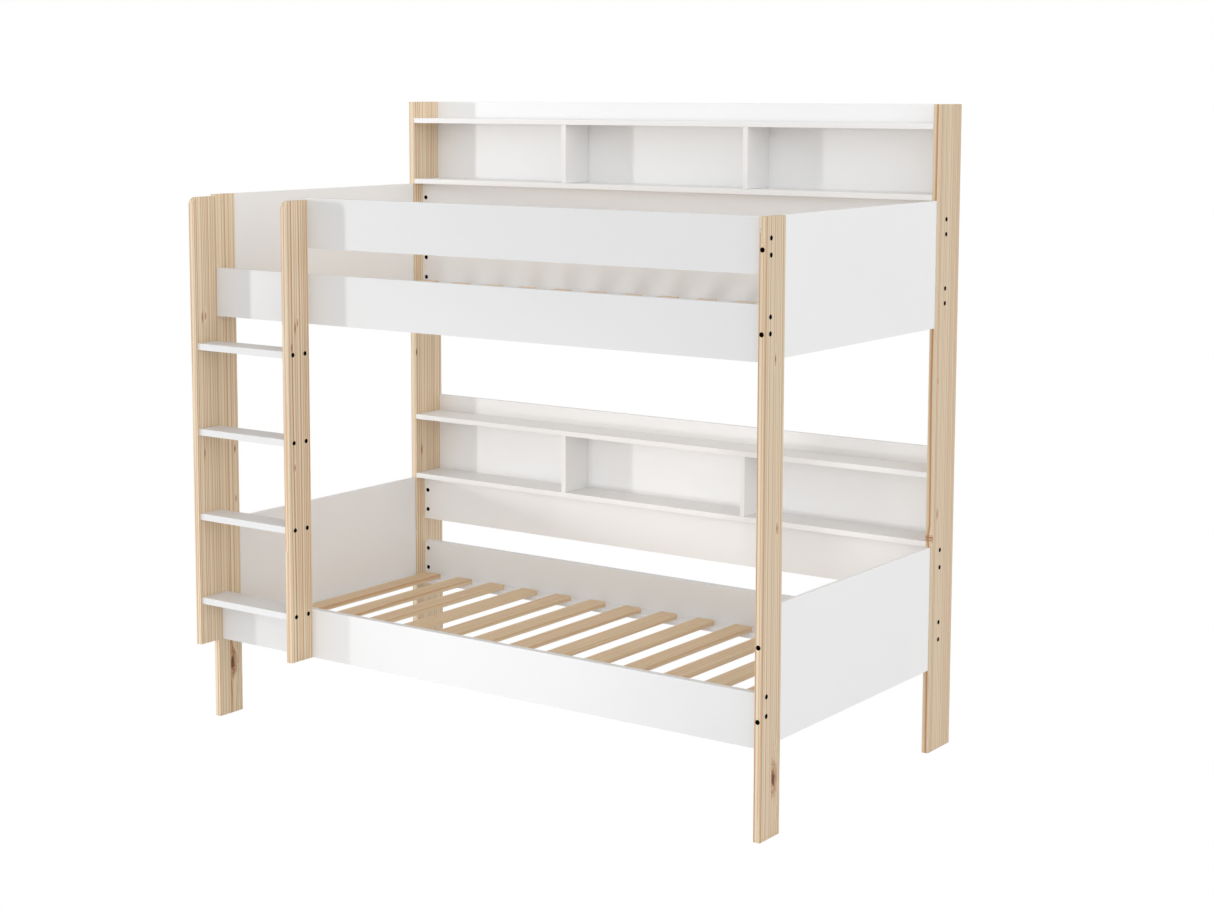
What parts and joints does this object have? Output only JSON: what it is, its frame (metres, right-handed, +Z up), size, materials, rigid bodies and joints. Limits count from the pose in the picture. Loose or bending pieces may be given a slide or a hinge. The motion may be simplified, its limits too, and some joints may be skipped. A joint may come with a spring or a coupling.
{
  "type": "bunk bed with ladder",
  "caption": "Wooden bunk bed with an upright ladder at one end of the front, white rails and end panels, and a divided shelf behind each bunk.",
  "frame": {"origin": "on the floor, under the middle of the bed's bounding box, ladder included", "axes": "+X along the bed towards the end away from the ladder, +Y from the ladder side towards the shelves, +Z up"},
  "size_m": [2.06, 1.2194, 1.983],
  "materials": {
    "pine_frame": "clear matt lacquer over planed pine",
    "pine_slat": "planed pine, unlacquered",
    "white_wood": "white satin lacquer on wood",
    "white_board": "white satin lacquer on fibreboard"
  },
  "bodies": {
    "root": {"front_post_left": "pine_frame", "front_post_right": "pine_frame", "back_post_left": "pine_frame", "back_post_right": "pine_frame", "ladder_stile_left": "pine_frame", "ladder_stile_right": "pine_frame", "lower_slat_01": "pine_slat", "lower_slat_02": "pine_slat", "lower_slat_03": "pine_slat", "lower_slat_04": "pine_slat", "lower_slat_05": "pine_slat", "lower_slat_06": "pine_slat", "lower_slat_07": "pine_slat", "lower_slat_08": "pine_slat", "lower_slat_09": "pine_slat", "lower_slat_10": "pine_slat", "lower_slat_11": "pine_slat", "lower_slat_12": "pine_slat", "lower_slat_13": "pine_slat", "lower_slat_14": "pine_slat", "upper_slat_01": "pine_slat", "upper_slat_02": "pine_slat", "upper_slat_03": "pine_slat", "upper_slat_04": "pine_slat", "upper_slat_05": "pine_slat", "upper_slat_06": "pine_slat", "upper_slat_07": "pine_slat", "upper_slat_08": "pine_slat", "upper_slat_09": "pine_slat", "upper_slat_10": "pine_slat", "upper_slat_11": "pine_slat", "upper_slat_12": "pine_slat", "upper_slat_13": "pine_slat", "upper_slat_14": "pine_slat", "lower_front_rail": "white_wood", "lower_back_rail": "white_wood", "lower_back_guard": "white_wood", "upper_front_rail": "white_wood", "upper_back_rail": "white_wood", "upper_back_guard": "white_wood", "upper_front_guard": "white_wood", "rung_1": "white_wood", "rung_2": "white_wood", "rung_3": "white_wood", "rung_4": "white_wood", "lower_end_panel_left": "white_board", "lower_end_panel_right": "white_board", "upper_end_panel_left": "white_board", "upper_end_panel_right": "white_board", "lower_shelf_low": "white_board", "lower_shelf_high": "white_board", "upper_shelf_low": "white_board", "upper_shelf_high": "white_board", "lower_divider_left": "white_board", "lower_divider_right": "white_board", "upper_divider_left": "white_board", "upper_divider_right": "white_board", "lower_back_board": "white_board", "upper_back_board": "white_board"}
  },
  "joints": []
}
